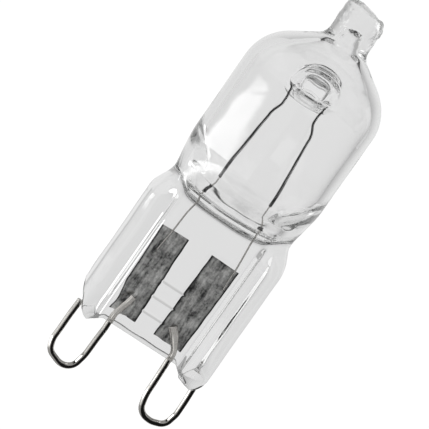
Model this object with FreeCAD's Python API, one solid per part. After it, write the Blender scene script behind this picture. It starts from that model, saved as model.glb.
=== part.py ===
"""Mains halogen capsule lamp with a pinched quartz base and two looped pins.

Millimetres. +Z runs along the lamp from the pins to the exhaust tip, X runs
across the flat of the pinch through both pins, and -Y is the front. The origin
is on the lamp's axis, at the foot of the pinch between the pins.
"""
import FreeCAD
import Part

import math
import os

Vector = FreeCAD.Vector

# Glass: the bulb
bulb_radius = 6.85          # outside of the blown quartz tube
bulb_wall = 0.9
tube_length = 7.6           # straight round part, from the swell up to the dome
shoulder_radius = 4.6       # outer bend between the tube and the dome's cone
dome_slope = 34.0           # degrees, cone of the dome above level

# Glass: the sealed exhaust tip
tip_radius = 2.1
tip_length = 4.2            # dome's cone to the tip's higher edge
tip_tilt = 10.0             # degrees, the tip was melted off slightly askew
tip_edge_radius = 0.6
tip_root_radius = 0.5       # fillet between the dome and the tip
bore_radius = 0.95          # what is left open of the exhaust tube inside the tip
bore_cap = 2.55             # glass above the bore
bore_end_radius = 0.6

# Glass: the pinch
pinch_half_width = 7.1
foil_cover = 2.25           # pressed glass above the foils, up to where the neck begins
web_half_thickness = 1.3    # flat middle of the pinch
rib_half_thickness = 2.5    # thick rounded edges of the pinch
rib_width = 2.7             # from the pinch's edge to where the web starts to rise
rib_flank = 0.9             # width of the slope between web and rib
rib_root_radius = 0.4       # rounding at both ends of that slope
rib_edge_radius = 1.4       # rounding of the ribs' outer edges
left_rib_drop = 0.7         # how far each rib hangs below the web
right_rib_drop = 1.0
left_rib_bevel = 2.4        # height of each rib's outer corner
right_rib_bevel = 0.8

# Glass: the neck and the swell between the pinch and the bulb
neck_rise = 2.9             # top of the pinch to the narrowest place
neck_half_width = 6.35
neck_half_depth = 2.1
neck_wall = 1.65            # glass beside the slot at the bottom of the hollow
swell_length = 4.1          # narrowest place to where the tube is round
slot_rise = 1.0             # top of the pinch to the floor of the hollow
slot_corner = 0.5           # rounding at both ends of the floor

# Glass: the peg that carries the filament, pressed in from front and back
peg_rise = 0.85             # centre of the peg above the start of the shoulder
peg_radius = 1.5            # at the middle of the lamp
peg_flat = 1.3              # how far its flat underside lies below its centre
peg_wall = 0.65             # glass round the bottom of each dent
dent_mouth_radius = 3.2     # where the dent leaves the outside of the bulb
dent_floor = 0.5            # half of the glass left between the two dents
dent_bottom_radius = 0.3

# Metal
foil_width = 3.0
foil_length = 9.1
foil_thickness = 0.06
foil_bottom = 1.05          # height of the foils' lower ends above the foot
foil_lean = 1.6             # degrees, the foils open slightly towards the bulb
left_foil_middle = -2.88    # x of the middle of each foil
right_foil_middle = 2.36
pin_wire = 0.6              # diameter of the nickel-plated pin wire
pin_pitch = 9.7             # middle of one loop to the middle of the other
loop_width = 3.4            # leg to leg, centre lines
loop_depth = 6.15           # foot of the pinch to the lowest point of a loop
left_free_end = 0.05        # height of the left loop's free end
leg_clearance = 0.2         # between the loops' free legs and the ribs
left_weld_across = 0.16     # welded end of each pin, across from the middle of its foil
right_weld_across = -0.61
left_weld_rise = 2.0        # and above the foil's lower end
right_weld_rise = 1.55
pin_knee = 0.75             # height where a pin bends towards its foil
pin_bend = 1.6
pin_weld_bite = 0.05        # depth of the flat where a wire is welded to its foil
lead_wire = 0.17            # diameter of the inner leads
lead_weld_bite = 0.03
lead_bend = 1.5
lead_tail = 1.1             # straight end of a lead, in line with the filament's foot
coil_diameter = 0.36        # outside of the wound filament
coil_seat = 0.02            # depth of the filament's seat in the peg
coil_rise = 3.05            # filament's lower ends above the floor of the hollow
left_coil_foot = 2.70       # distance of the filament's lower ends from the axis
right_coil_foot = 2.85
left_bow_out = 2.25         # bow of each leg of the filament, from the axis
right_bow_out = 2.38
left_bow_drop = 6.25        # and below the peg's centre
right_bow_drop = 6.75
coil_bow_radius = 12.0
kink_step = 0.45            # how far the filament's legs step in under the peg
kink_low = 3.65             # lower and upper bend of that step, below the peg's centre
kink_high = 2.55
kink_radius = 0.9

# Bends of each inner lead: inward from its foil's outer edge in shares of the foil's width,
# and up from the foil's upper end in shares of the glass between there and the hollow
lead_route = {
    -1: [(0.317, -0.723), (0.377, 0.077), (0.417, 0.631), (0.513, 1.031)],
    1: [(0.08, -0.646), (0.107, 0.031), (0.153, 0.477), (0.24, 1.0)],
}

# Drawing fineness
section_points = 40        # points on a closed section of the glass
arch_points = 20            # points on a closed section of the peg
neck_steps = 6
hollow_steps = 6
peg_steps = 8
seam = 0.04                 # step where a pressed or blown stretch of glass runs into the next

# Worked out from the above
hollow_radius = bulb_radius - bulb_wall
slope = math.radians(dome_slope)
foil_top = foil_bottom + foil_length
pinch_top = foil_top + foil_cover
neck_height = pinch_top + neck_rise
bulb_low = neck_height + swell_length
shoulder_start = bulb_low + tube_length
hollow_floor = pinch_top + slot_rise
hollow_round = bulb_low + bulb_wall / 2             # the hollow turns round a little higher than the tube
slot_half_width = neck_half_width - neck_wall
peg_height = shoulder_start + peg_rise
dent_radius = peg_radius - peg_wall
foil_middle = {-1: left_foil_middle, 1: right_foil_middle}
pin_weld = {-1: (left_weld_across, left_weld_rise), 1: (right_weld_across, right_weld_rise)}
coil_foot = {-1: left_coil_foot, 1: right_coil_foot}
coil_bow = {-1: (left_bow_out, left_bow_drop), 1: (right_bow_out, right_bow_drop)}
foil_front = lead_wire / 2 - lead_weld_bite         # the leads' centre lines lie in the plane y = 0
pin_plane = foil_front - pin_wire / 2 + pin_weld_bite
hang_half_width = peg_radius - coil_seat + coil_diameter / 2
loop_radius = loop_width / 2
loop_centre = -loop_depth + pin_wire / 2 + loop_radius
leg_near = pin_pitch / 2 - loop_radius
leg_far = pin_pitch / 2 + loop_radius


def smooth(value, low, high):
    """0 below low, 1 above high, and a smooth step between them."""
    t = min(1.0, max(0.0, (value - low) / (high - low)))
    return t * t * (3 - 2 * t)


def steps(low, high, count):
    return [low + (high - low) * i / count for i in range(count + 1)]


def closed_curve(points):
    """Smooth closed wire through a ring of points, evenly spaced in its parameter."""
    curve = Part.BSplineCurve()
    curve.interpolate(Points=points, PeriodicFlag=True, Parameters=list(range(len(points) + 1)))
    return Part.Wire(curve.toShape())


def ring_of(half_width, depth_at, z):
    """Section at height z: x = half_width cos t, y = depth_at(|cos t|) with the sign of sin t."""
    points = []
    for i in range(section_points):
        angle = 2 * math.pi * (i + 0.5) / section_points
        across = math.cos(angle)
        depth = math.copysign(depth_at(abs(across)), math.sin(angle))
        points.append(Vector(half_width * across, depth, z))
    return closed_curve(points)


def rounded_path(corners, bends):
    """Edges through the corners, each inner corner rounded by an arc of its bend radius (0 keeps it sharp)."""
    edges = []
    here = corners[0]
    for before, corner, after, bend in zip(corners, corners[1:], corners[2:], bends):
        inward = (before - corner).normalize()
        onward = (after - corner).normalize()
        half_turn = (math.pi - inward.getAngle(onward)) / 2
        start = corner + inward * bend * math.tan(half_turn)
        end = corner + onward * bend * math.tan(half_turn)
        edges.append(Part.makeLine(here, start))
        if bend:
            middle_way = (inward + onward).normalize()
            middle = corner + middle_way * (bend / math.cos(half_turn) - bend)
            edges.append(Part.Arc(start, middle, end).toShape())
        here = end
    edges.append(Part.makeLine(here, corners[-1]))
    return edges


def revolved(outline, bends):
    """Solid turned about Z; the outline of (radius, height) pairs starts and ends on the axis."""
    corners = [Vector(r, 0, z) for r, z in outline]
    edges = rounded_path(corners, bends)
    edges.append(Part.makeLine(corners[-1], corners[0]))
    return Part.Face(Part.Wire(edges)).revolve(Vector(0, 0, 0), Vector(0, 0, 1), 360)


def dome_root(inset, end_radius):
    """Heights of the dome's shoulder corner and of its root at `end_radius`, `inset` inside the outside."""
    shoulder = shoulder_start + (shoulder_radius - inset) * math.tan((math.pi / 2 - slope) / 2)
    return shoulder, shoulder + (bulb_radius - inset - end_radius) * math.tan(slope)


def tube_and_dome(inset, low, end_radius, root_radius, top, top_round):
    """Tube, dome and neck of the exhaust tip, `inset` inside the outer surface of the glass."""
    tube = bulb_radius - inset
    bend = shoulder_radius - inset
    shoulder, root = dome_root(inset, end_radius)
    outline = [(0, low), (tube, low), (tube, shoulder), (end_radius, root), (end_radius, top), (0, top)]
    return revolved(outline, [0, bend, root_radius, top_round])


def pinch_section(z):
    """Pressed outline of the pinch: a flat web between two thick rounded ribs."""
    web, rib, edge = web_half_thickness, rib_half_thickness, pinch_half_width
    root = edge - rib_width
    quarter = [(root, web), (root + rib_flank, rib), (edge, rib)]
    bends = [rib_root_radius, rib_root_radius, rib_edge_radius]
    right = quarter + [(x, -y) for x, y in quarter[::-1]]
    left = [(-x, -y) for x, y in right]
    corners = [Vector(x, y, z) for x, y in [(0, web)] + right + left + [(0, web)]]
    return Part.Wire(rounded_path(corners, (bends + bends[::-1]) * 2))


def neck_section(z):
    """Outline of the neck and swell at height z: web and ribs at the bottom, a circle at the top."""
    if z < neck_height:
        waist = smooth(z, pinch_top, neck_height)
        half_width = pinch_half_width + (neck_half_width - pinch_half_width) * waist
    else:
        rise = math.sin(math.pi / 2 * (z - neck_height) / (bulb_low - neck_height))
        half_width = neck_half_width + (bulb_radius - neck_half_width) * rise
    swell_start = pinch_top + 0.28 * neck_rise
    rise = max(0.0, (z - swell_start) / (bulb_low - swell_start))
    blown = neck_half_depth + (bulb_radius - seam - neck_half_depth) * math.sin(math.pi / 2 * rise) ** 1.4
    swell = smooth(z, pinch_top, pinch_top + 1.17 * neck_rise)
    rib_inner = pinch_half_width - rib_width

    def depth_at(u):
        rib = smooth(u * pinch_half_width, rib_inner, rib_inner + 1.3 * rib_flank)
        pressed = web_half_thickness - seam + (rib_half_thickness - web_half_thickness) * rib
        pressed *= math.sqrt(1 - u ** 12)
        return (1 - swell) * pressed + swell * blown * math.sqrt(1 - u ** 2)

    return ring_of(half_width - seam, depth_at, z)


def hollow_section(z):
    """Outline of the hollow at height z: a flat slot at the neck, a circle in the bulb."""
    rise = (z - hollow_floor) / (hollow_round - hollow_floor)
    half_width = slot_half_width + (hollow_radius - seam - slot_half_width) * smooth(rise, 0.2, 0.95)
    half_width -= slot_corner * max(0.0, 1 - rise / 0.1) ** 2
    half_depth = (hollow_radius - seam) * (0.03 + 0.97 * math.sin(math.pi / 2 * rise) ** 1.6)
    squareness = 2 + 1.5 * (1 - rise)
    return ring_of(half_width, lambda u: half_depth * (1 - u ** squareness) ** (1 / squareness), z)


def foot_cutter():
    """What is not glass below the foot: level under the web, lower under the ribs, corners bevelled."""
    edge = pinch_half_width
    wide = 1.2 * edge
    clear = leg_far - pin_wire / 2 - leg_clearance
    outline = [
        (-wide, -loop_depth), (-wide, left_rib_bevel), (-edge, left_rib_bevel), (-clear, 0),
        (0.2 * loop_width - clear, -left_rib_drop), (0.4 * loop_width - clear, -0.6 * left_rib_drop),
        (0.6 * loop_width - clear, 0), (leg_near + 0.22 * loop_width, 0),
        (leg_near + 0.4 * loop_width, -0.55 * right_rib_drop),
        (leg_near + 0.47 * loop_width, -0.85 * right_rib_drop),
        (leg_near + 0.93 * loop_width, -right_rib_drop), (edge, right_rib_bevel),
        (wide, right_rib_bevel), (wide, -loop_depth),
    ]
    depth = 2 * rib_half_thickness
    corners = [Vector(x, -depth, z) for x, z in outline]
    return Part.Face(Part.makePolygon(corners + corners[:1])).extrude(Vector(0, 2 * depth, 0))


def outer_tip():
    """Tube, dome and tip from the outside, with the tip trimmed askew and its edge melted round."""
    tip_top = dome_root(0, tip_radius)[1] + tip_length
    over = 2 * tip_radius
    solid = tube_and_dome(0, bulb_low, tip_radius, tip_root_radius, tip_top + tip_radius, 0)
    cutter = Part.makeBox(2 * over, 2 * over, over, Vector(-over, -over, 0))
    cutter.rotate(Vector(0, 0, 0), Vector(0, 1, 0), tip_tilt)
    fall = tip_radius * math.tan(math.radians(tip_tilt))
    cutter.translate(Vector(0, 0, tip_top - fall))
    solid = solid.cut(cutter)
    rim = [e for e in solid.Edges if e.BoundBox.ZMin > tip_top - 3 * fall and e.BoundBox.XLength > tip_radius]
    return solid.makeFillet(tip_edge_radius, rim)


def blank():
    """The lamp's glass as if it were solid, before the dents."""
    neck = Part.makeLoft([neck_section(z) for z in steps(pinch_top, bulb_low, neck_steps)], True, False)
    lowest = 2 * max(left_rib_drop, right_rib_drop)
    pinch = Part.Face(pinch_section(pinch_top)).extrude(Vector(0, 0, -pinch_top - lowest))
    return pinch.cut(foot_cutter()).fuse([neck, outer_tip()])


def hollow():
    """Gas space: slot at the neck, tube, dome, and the closed end of the exhaust bore."""
    heights = steps(hollow_floor, hollow_round, hollow_steps)
    low = Part.makeLoft([hollow_section(z) for z in heights], True, False)
    bore_top = dome_root(0, tip_radius)[1] + tip_length - bore_cap
    high = tube_and_dome(bulb_wall, hollow_round, bore_radius, tip_root_radius, bore_top, bore_end_radius)
    return low.fuse(high)


def arch_section(y, radius, flat):
    """Upright ring at depth y: round above the peg's centre, squarer and `flat` deep below it."""
    points = []
    for i in range(arch_points):
        angle = 2 * math.pi * (i + 0.5) / arch_points
        x = math.cos(angle)
        z = math.sin(angle)
        if z < 0:
            x = math.copysign(math.sqrt(abs(x)), x)
            z = -math.sqrt(-z) * flat / radius
        points.append(Vector(radius * x, y, peg_height + radius * z))
    return closed_curve(points)


def peg():
    """Bridge of glass across the hollow, from the front wall to the back wall."""
    flare = dent_mouth_radius + bulb_wall / 2 - peg_radius
    reach = hollow_radius + bulb_wall / 2
    sections = []
    for y in steps(-reach, reach, peg_steps):
        wider = flare * (abs(y) / hollow_radius) ** 3.5
        sections.append(arch_section(y, peg_radius + wider, peg_flat + wider))
    return Part.makeLoft(sections, True, False)


def dent(side):
    """Air in the dent that pressed one half of the peg in; side is -1 for the front, 1 for the back."""
    sections = []
    for y in steps(dent_floor, bulb_radius + bulb_wall, peg_steps):
        radius = dent_radius + (dent_mouth_radius - dent_radius) * (y / bulb_radius) ** 3.5
        radius -= dent_bottom_radius * max(0.0, 1 - (y - dent_floor) / (2 * dent_bottom_radius)) ** 2
        sections.append(arch_section(side * y, radius, radius * peg_flat / peg_radius))
    return Part.makeLoft(sections, True, False)


def swept(edges, diameter):
    """Round wire along a path of edges."""
    start = edges[0].valueAt(edges[0].FirstParameter)
    onward = edges[0].tangentAt(edges[0].FirstParameter)
    circle = Part.Wire(Part.makeCircle(diameter / 2, start, onward))
    return Part.Wire(edges).makePipeShell([circle], True, False)


def foil(side):
    """Etched molybdenum foil, a thin strip sealed in the web of the pinch."""
    strip = Part.makeBox(foil_width, foil_thickness, foil_length,
                         Vector(-foil_width / 2, -foil_thickness / 2, -foil_length / 2))
    strip.rotate(Vector(0, 0, 0), Vector(0, 1, 0), side * foil_lean)
    strip.translate(Vector(foil_middle[side], foil_front + foil_thickness / 2, foil_bottom + foil_length / 2))
    return strip


def pin(side, sealed_foil):
    """Looped pin: from its weld on the foil, out of the foot, round the loop and up to its free end."""
    near = side * leg_near
    far = side * leg_far
    end = (foil_middle[side] + pin_weld[side][0], foil_bottom + pin_weld[side][1])
    route = [Vector(x, pin_plane, z) for x, z in (end, (near, pin_knee), (near, loop_centre))]
    turn = Vector((near + far) / 2, pin_plane, loop_centre - loop_radius)
    loop = Part.Arc(Vector(near, pin_plane, loop_centre), turn, Vector(far, pin_plane, loop_centre))
    free_end = left_free_end if side < 0 else -right_rib_drop - leg_clearance
    rise = Part.makeLine(Vector(far, pin_plane, loop_centre), Vector(far, pin_plane, free_end))
    return swept(rounded_path(route, [pin_bend]) + [loop.toShape(), rise], pin_wire).cut(sealed_foil)


def coil_leg(side):
    """Corners of one leg of the filament, from its foot up to where it starts round the peg."""
    foot = Vector(side * coil_foot[side], 0, hollow_floor + coil_rise)
    bow = Vector(side * coil_bow[side][0], 0, peg_height - coil_bow[side][1])
    step = Vector(side * (hang_half_width + kink_step), 0, peg_height - kink_low)
    return [foot, bow, step,
            Vector(side * hang_half_width, 0, peg_height - kink_high),
            Vector(side * hang_half_width, 0, peg_height)]


def inner_lead(side, sealed_foil):
    """Thin wire from the foil up through the neck to the foot of the filament."""
    foot, bow = coil_leg(side)[:2]
    edge = foil_middle[side] + side * foil_width / 2
    above = hollow_floor - foil_top
    route = [Vector(edge - side * foil_width * inward, 0, foil_top + above * up)
             for inward, up in lead_route[side]]
    route += [foot + (foot - bow).normalize() * lead_tail, foot]
    return swept(rounded_path(route, [lead_bend] * 4), lead_wire).cut(sealed_foil)


def filament():
    """Envelope of the wound tungsten filament: up one side, over the peg and down the other side."""
    bends = [coil_bow_radius, kink_radius, kink_radius]
    up = rounded_path(coil_leg(-1), bends)
    down = rounded_path(coil_leg(1)[::-1], bends[::-1])
    over = Part.Arc(coil_leg(-1)[-1], Vector(0, 0, peg_height + hang_half_width), coil_leg(1)[-1])
    return swept(up + [over.toShape()] + down, coil_diameter)


def main():
    os.makedirs("parts", exist_ok=True)
    metal = {"filament": filament()}
    for side, name in ((-1, "left"), (1, "right")):
        metal[name + "_foil"] = foil(side)
        metal[name + "_pin"] = pin(side, metal[name + "_foil"])
        metal[name + "_inner_lead"] = inner_lead(side, metal[name + "_foil"])
    glass = blank().cut([dent(-1), dent(1)])
    glass = glass.cut(hollow().cut(peg()))
    glass = glass.cut(list(metal.values()))
    for name, shape in {"envelope": glass, **metal}.items():
        solid = shape.Solids[0]
        print(name, "solids", len(shape.Solids), "valid", solid.isValid(), "mm3", round(solid.Volume, 3),
              "z", round(solid.BoundBox.ZMin, 2), round(solid.BoundBox.ZMax, 2))
        solid.exportStep("parts/" + name + ".step")


main()
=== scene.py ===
# %% [markdown]
# # A halogen capsule bulb
#
# A clear quartz lamp about as long as a thumb: a blown round bulb on a flat pressed base, two looped
# pins, two dark sealed foils, and a wound filament hung over a glass peg. Nearly everything that the
# eye sees is glass, so the lesson is mostly about surfaces: both skins of the glass are worked out as
# arrays, and the light is set as a photographer sets it for glass.
#
# All shapes are written in millimetres and become metres when a mesh is made.

# %% The frame
import math

import bmesh
import bpy
import numpy as np
from mathutils import Matrix


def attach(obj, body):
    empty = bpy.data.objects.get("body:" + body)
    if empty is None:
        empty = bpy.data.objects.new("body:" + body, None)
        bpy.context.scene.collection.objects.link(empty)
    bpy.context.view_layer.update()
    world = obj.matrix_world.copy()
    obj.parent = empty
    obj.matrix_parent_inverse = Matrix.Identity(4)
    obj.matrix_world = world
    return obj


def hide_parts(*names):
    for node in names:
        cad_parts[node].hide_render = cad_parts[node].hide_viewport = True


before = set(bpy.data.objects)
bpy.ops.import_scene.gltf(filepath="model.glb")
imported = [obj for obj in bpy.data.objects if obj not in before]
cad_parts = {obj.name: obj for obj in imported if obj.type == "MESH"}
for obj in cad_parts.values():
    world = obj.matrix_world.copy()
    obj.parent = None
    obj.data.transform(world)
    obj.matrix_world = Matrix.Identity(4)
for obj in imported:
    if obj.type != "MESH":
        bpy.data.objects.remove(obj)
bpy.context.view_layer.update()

MM = 0.001

# %% [markdown]
# ## Helpers for shapes
#
# A shape could be pushed and pulled by hand, or cut out of simple solids. Here each one is a formula on
# a grid, because a formula can be read, measured and changed. A few small helpers carry all of them,
# above all a smooth step, a line with rounded corners, even spacing along a line, and a seeded
# unevenness that keeps melted glass and bent wire from looking machined.

# %% Smooth steps, rounded lines, unevenness
def smooth(value, low, high):
    """0 below low, 1 above high, and 3t^2 - 2t^3 between them."""
    t = np.clip((value - low) / (high - low), 0, 1)
    return t * t * (3 - 2 * t)


def unit(vectors):
    """Vectors divided by their lengths."""
    return vectors / np.linalg.norm(vectors, axis=-1, keepdims=True)


def rounded(corners, radii, fine=32):
    """The line through the corners, with an arc of the given radius in place of each inner corner.

    The arc's centre lies on the bisector, radius / sin(half angle) away from the corner."""
    corners = np.array(corners, float)
    line = [corners[:1]]
    for before, corner, after, radius in zip(corners, corners[1:], corners[2:], radii):
        back, onward = unit(before - corner), unit(after - corner)
        half = np.arccos(np.clip(back @ onward, -1, 1)) / 2
        inward = unit(back + onward)
        t = np.linspace(0, 1, fine)[:, None]
        chord = (back * (1 - t) + onward * t) * radius / np.tan(half) - inward * radius / np.sin(half)
        chord *= radius / np.linalg.norm(chord, axis=1, keepdims=True)
        line.append(corner + inward * radius / np.sin(half) + chord)
    return np.concatenate(line + [corners[-1:]])


def way_along(line):
    """Distance from the start of a line to each of its points."""
    return np.append(0, np.cumsum(np.linalg.norm(np.diff(line, axis=0), axis=1)))


def along(line, way):
    """Points of a line at the given distances from its start."""
    known = way_along(line)
    return np.stack([np.interp(way, known, line[:, k]) for k in range(line.shape[1])], axis=-1)


def stacked(*values):
    """Coordinates put together as the last axis, each spread over the shape of the others."""
    return np.stack(np.broadcast_arrays(*values), axis=-1)


def unevenness(points, size, seed):
    """Smooth noise, mostly within -1 and 1: sixteen sine waves about `size` long in seeded directions."""
    draw = np.random.default_rng(seed)
    waves = draw.normal(size=(3, 16))
    waves *= 2 * np.pi / size * draw.uniform(0.6, 1.4, 16) / np.linalg.norm(waves, axis=0)
    return np.sin(points @ waves + draw.uniform(0, 2 * np.pi, 16)).sum(axis=-1) / 4


# %% [markdown]
# ## From arrays to meshes
#
# A grid of points becomes a mesh when each small square of four neighbours gets a face. A grid that
# goes round a shape joins its last column to its first. Where a grid closes, at a pole or along a
# crease, whole rows of points fall on each other, and they are merged once the mesh exists.

# %% Grids and pieces
def grid_quads(rows, columns, closed=True):
    """Indices of the four corners of each square of a grid; closed joins the last column to the first."""
    row, column = np.meshgrid(np.arange(rows - 1), np.arange(columns - (not closed)), indexing="ij")
    across = (column + 1) % columns
    corners = [row * columns + column, row * columns + across,
               (row + 1) * columns + across, (row + 1) * columns + column]
    return np.stack(corners, axis=-1).reshape(-1, 4)


def new_piece(name, points, quads, uv=None):
    """A smooth mesh object from points in mm; points that coincide are merged and unused ones dropped."""
    used, quads = np.unique(quads, return_inverse=True)
    quads = quads.reshape(-1, 4)
    mesh = bpy.data.meshes.new(name)
    mesh.from_pydata((points.reshape(-1, 3)[used] * MM).tolist(), [], quads.tolist())
    if uv is not None:
        layer = mesh.uv_layers.new(name="UVMap")
        layer.data.foreach_set("uv", uv.reshape(-1, 2)[used][quads.ravel()].ravel())
    work = bmesh.new()
    work.from_mesh(mesh)
    bmesh.ops.remove_doubles(work, verts=work.verts, dist=1e-4 * MM)
    open_edges = sum(edge.is_boundary for edge in work.edges)
    volume = work.calc_volume(signed=True) / MM ** 3
    work.to_mesh(mesh)
    work.free()
    mesh.polygons.foreach_set("use_smooth", np.ones(len(mesh.polygons), bool))
    piece = bpy.data.objects.new(name, mesh)
    bpy.context.collection.objects.link(piece)
    print(f"{name}: {len(mesh.polygons)} faces, {open_edges} open edges, {volume:.2f} mm3")
    return piece


# %% [markdown]
# ## The camera
#
# The lamp was photographed from slightly above and slightly to its left, through a long lens, so its
# sides stay nearly parallel. It lies slanted in the picture: its axis leans 35 degrees to the right.
# The lamp itself stays upright here and the camera rolls instead, so that every other view, and every
# measure, keeps the lamp's own axes.

# %% Camera
azimuth, elevation, lean = math.radians(-9), math.radians(12), math.radians(35)
picture_width = 38.5             # mm of the lamp's middle plane that the picture is wide
picture_centre = np.array([-0.9, 0, 13.35])
camera_distance = 300.0

to_camera = np.array([math.sin(azimuth) * math.cos(elevation),
                      -math.cos(azimuth) * math.cos(elevation), math.sin(elevation)])
level = np.array([math.cos(azimuth), math.sin(azimuth), 0])
lamp_up = np.cross(to_camera, level)
picture_right = math.cos(lean) * level + math.sin(lean) * lamp_up
picture_up = math.cos(lean) * lamp_up - math.sin(lean) * level

camera_data = bpy.data.cameras.new("camera")
camera_data.lens = camera_data.sensor_width * camera_distance / picture_width


def add_at(name, data, right, up, back, where):
    """Adds a camera or a lamp with the given axes at a place in mm."""
    new = bpy.data.objects.new(name, data)
    placing = np.eye(4)
    placing[:3] = np.stack([right, up, back, where * MM], axis=1)
    new.matrix_world = Matrix(placing.tolist())
    bpy.context.collection.objects.link(new)
    return new


camera_place = picture_centre + camera_distance * to_camera
bpy.context.scene.camera = add_at("camera", camera_data, picture_right, picture_up, to_camera, camera_place)
print("lens", round(camera_data.lens, 1), "mm; camera at", camera_place.round(1), "mm")

# %% [markdown]
# ## The glass from outside: pinch and foot
#
# The lower half of the lamp was pressed between two jaws while it was soft. Its section is a flat web
# between two thick rounded ribs. One quarter of that section is a line from the middle of the web out
# to the edge, and a circle's quarter can be walked in the same way, so a pressed section turns into a
# round one by mixing the two at equal shares of their length.

# %% Section of the pinch
press_marks = [5.9, 4.25, 2.6]       # heights of the ridges that the jaws left across the web
half_width, web, rib = 7.1, 1.3, 2.5
rib_inside, rib_top = 4.45, 5.8

pinch_line = rounded([(0, web), (rib_inside, web), (rib_top, rib), (half_width, rib), (half_width, 0)],
                     [2.0, 1.0, 0.88], fine=60)
pinch_share = way_along(pinch_line) / way_along(pinch_line)[-1]
print("quarter of the pinch's section:", round(way_along(pinch_line)[-1], 2), "mm")


# %% Lower edge of the pinch
foot_x = [-7.1, -6.8, -6.4, -5.9, -5.35, -4.7, -4.0, 3.9, 4.5, 4.75, 6.3, 6.75, 7.1]
foot_z = [1.6, 0.7, -0.1, -0.5, -0.75, -0.42, 0, 0, -0.55, -0.88, -1.05, -0.55, 0.2]
fine_x = np.linspace(-8, 8, 1601)
fine_z = np.convolve(np.interp(fine_x, foot_x, foot_z), np.hanning(41) / np.hanning(41).sum(), "same")


def foot(x):
    """Height of the lower edge at x: level under the web, lower under the ribs, cut off at the corners."""
    return np.interp(x, fine_x[50:-50], fine_z[50:-50])


# %% [markdown]
# ## The glass from outside: neck, bulb and tip
#
# Above the pinch the glass narrows to a neck and swells into a round tube. The tube, the dome and the
# melted-off exhaust tip are all turned about the lamp's axis, so one line of radius against height
# describes them. The same line, drawn 0.9 mm further in, is the inner wall.

# %% Turned outlines
bulb_radius, wall = 6.85, 0.9
pinch_top, neck, bulb_low, shoulder = 12.4, 15.3, 19.4, 27.0
dome_slope = math.radians(34)
tip_radius, bore_radius, tip_root, tip_top, bore_top = 2.08, 0.95, 32.65, 36.4, 34.3
neck_half_width, neck_half_depth, shoulder_bend = 6.35, 1.9, 4.6


def turned(inset, low, end_radii, top, bends):
    """Outline of tube, dome and tip as (radius, height), `inset` inside the glass, rounded by `bends`."""
    tube, (end_low, end_high) = bulb_radius - inset, end_radii
    corner = shoulder + (shoulder_bend - inset) * math.tan((math.pi / 2 - dome_slope) / 2)
    root = corner + (tube - end_low) * math.tan(dome_slope)
    return rounded([(tube, low), (tube, corner), (end_low, root), (end_high, top), (0, top)], bends)


outer_line = turned(0, bulb_low, (tip_radius, tip_radius), tip_top, (shoulder_bend, 1.3, 0.7))
inner_low = bulb_low + 1.0
inner_line = turned(wall, inner_low, (bore_radius, 0.55), bore_top, (3.7, 1.1, 0.5))
print("outside, up to the tip:", round(way_along(outer_line)[-1], 2), "mm of outline")


# %% Outer skin
def blown_depth(height):
    """Half the depth of the outside, which grows from pinch to tube as a power of a sine, and its slope."""
    rise = np.pi / 2 * np.clip((height - pinch_top) / (bulb_low - pinch_top), 0, 1)
    grown, swell = bulb_radius - neck_half_depth, 1.35
    slope = grown * swell * np.sin(rise) ** (swell - 1) * np.cos(rise) * np.pi / 2 / (bulb_low - pinch_top)
    return neck_half_depth + grown * np.sin(rise) ** swell, slope


def outer_skin(turn, way):
    """Point of the outside: `turn` counts quarters round from the front's middle, `way` climbs the skin.

    Below the bulb, x and y mix the pressed section and an ellipse; above it they are a circle."""
    angle = turn * np.pi / 2
    right, front = np.sign(np.sin(angle)), np.sign(np.cos(angle))
    share = 1 - np.abs(turn % 2 - 1)
    pressed_x = np.interp(share, pinch_share, pinch_line[:, 0]) / half_width
    pressed_y = np.interp(share, pinch_share, pinch_line[:, 1])
    blown = smooth(way, pinch_top, neck + 0.5)
    waist = half_width + (neck_half_width - half_width) * smooth(way, pinch_top - 0.3, neck)
    rise = np.clip((way - neck) / (bulb_low - neck), 0, 1)
    waist += (bulb_radius - neck_half_width) * np.sin(np.pi / 2 * rise)
    depth = blown_depth(way)[0]
    radius, height = np.moveaxis(along(outer_line, way - bulb_low), -1, 0)
    waist = np.where(way > bulb_low, radius, waist)
    depth = np.where(way > bulb_low, radius, depth)
    x = right * waist * ((1 - blown) * pressed_x + blown * np.sin(share * np.pi / 2))
    y = -front * ((1 - blown) * pressed_y + blown * depth * np.cos(share * np.pi / 2))
    return stacked(x, y, np.where(way > bulb_low, height, way))


# %% [markdown]
# ## The peg and its dents
#
# Two rods were pushed into the soft bulb from the front and the back until only a bridge of glass was
# left between them: from outside two deep dents, and inside a peg that carries the filament. A dent
# could be cut with a boolean, but its rim is melted glass and must flow. So the grid itself bends into
# it: a square block of the skin is redrawn as rings. The outermost ring stays where it was, the next
# ones close in on the rim, and the rest go down the funnel's wall.

# %% Funnel
peg_height, peg_width, dent_width = 27.85, 1.5, 1.2
peg_slant = (0.155, 0.21)      # mm to the left and up, for each mm towards the front
flare_bend = 0.7               # how softly the 45 degree flare sets in, in mm


def across_shape(direction, above, below, power_above):
    """Radius by direction for a width of 1: (|cos|^p + |sin / height|^p)^(-1/p), squarer below."""
    height = np.where(np.sin(direction) < 0, below, above)
    power = np.where(np.sin(direction) < 0, 4.0, power_above)
    return (np.abs(np.cos(direction)) ** power + np.abs(np.sin(direction) / height) ** power) ** (-1 / power)


def flare_share(direction):
    """How much of the flare a direction has: all of it upwards and sideways, none straight down."""
    return 1 - smooth(-np.sin(direction), 0.2, 0.7)


def melted_minimum(a, b, width):
    """The smaller of two values, with the kink where they cross rounded over `width`."""
    h = np.clip(0.5 + (b - a) / (2 * width), 0, 1)
    return b * (1 - h) + a * h - width * h * (1 - h)


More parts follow.
